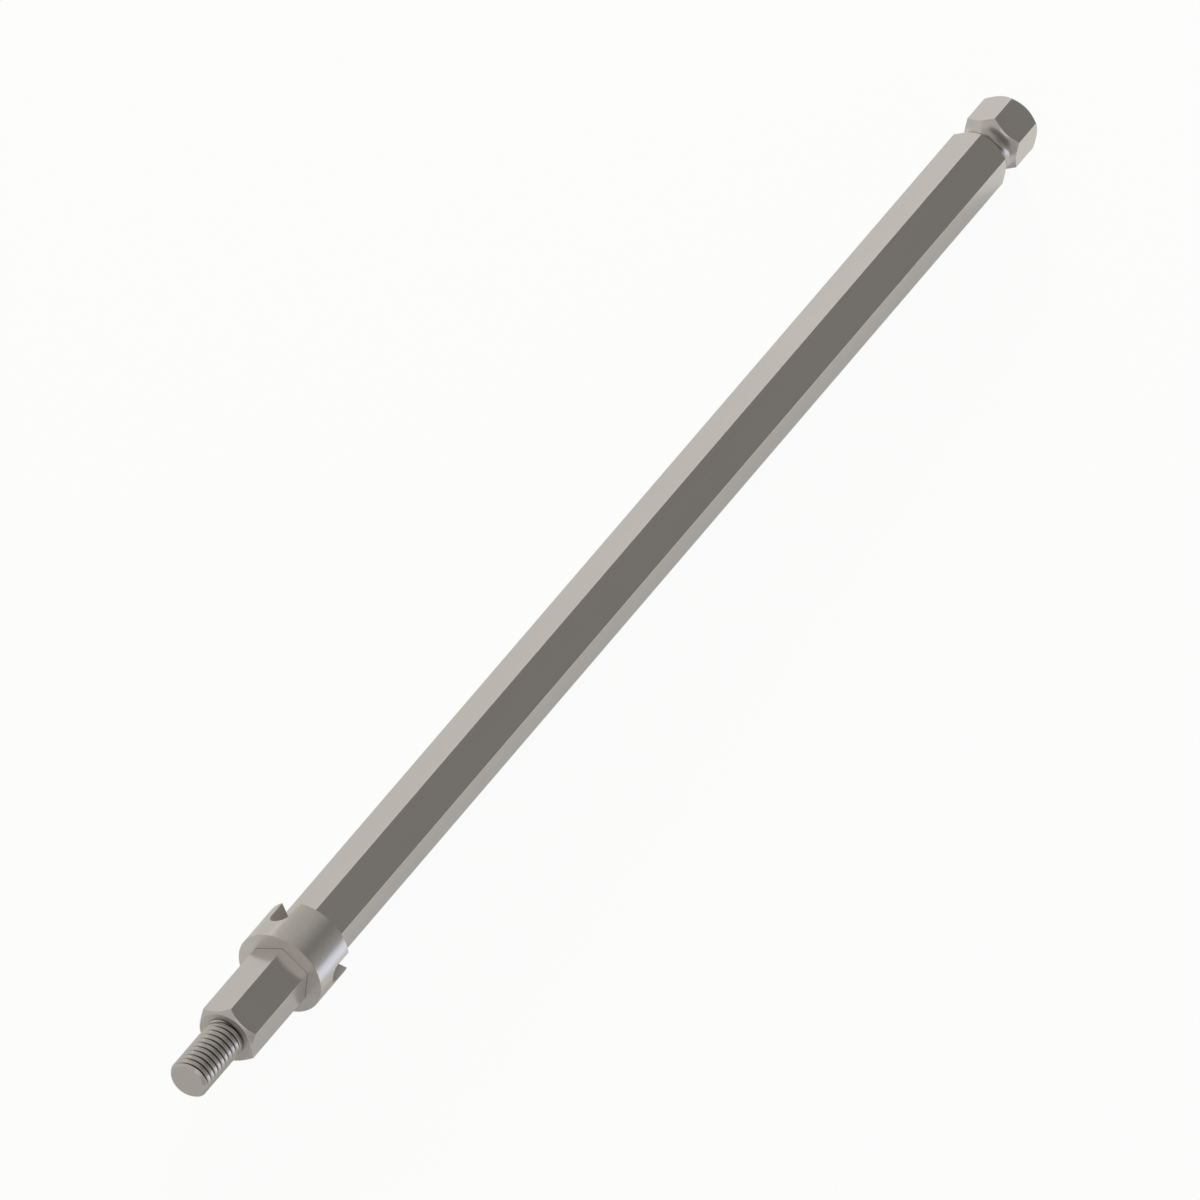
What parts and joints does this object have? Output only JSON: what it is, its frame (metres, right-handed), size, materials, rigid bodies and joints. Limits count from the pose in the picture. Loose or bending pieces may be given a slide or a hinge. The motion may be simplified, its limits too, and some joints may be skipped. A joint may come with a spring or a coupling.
{
  "type": "hexagonal drive shaft",
  "caption": "Hexagon steel shaft with a threaded stub, a slotted drive collar pressed on near the thread and a round-bottomed retaining groove near the far end.",
  "frame": {"origin": "on the shaft's axis, at the shoulder where the thread stub leaves the hexagon", "axes": "+X along the axis from the thread shoulder to the grooved end, +Z out of the upper flat of the hexagon; the thread stub points along -X"},
  "size_m": [0.3, 0.0174, 0.0175],
  "materials": {
    "bar_steel": "cold-drawn, satin",
    "collar_steel": "fine turned, satin"
  },
  "bodies": {
    "root": {"hex_shaft": "bar_steel", "drive_collar": "collar_steel"}
  },
  "joints": []
}
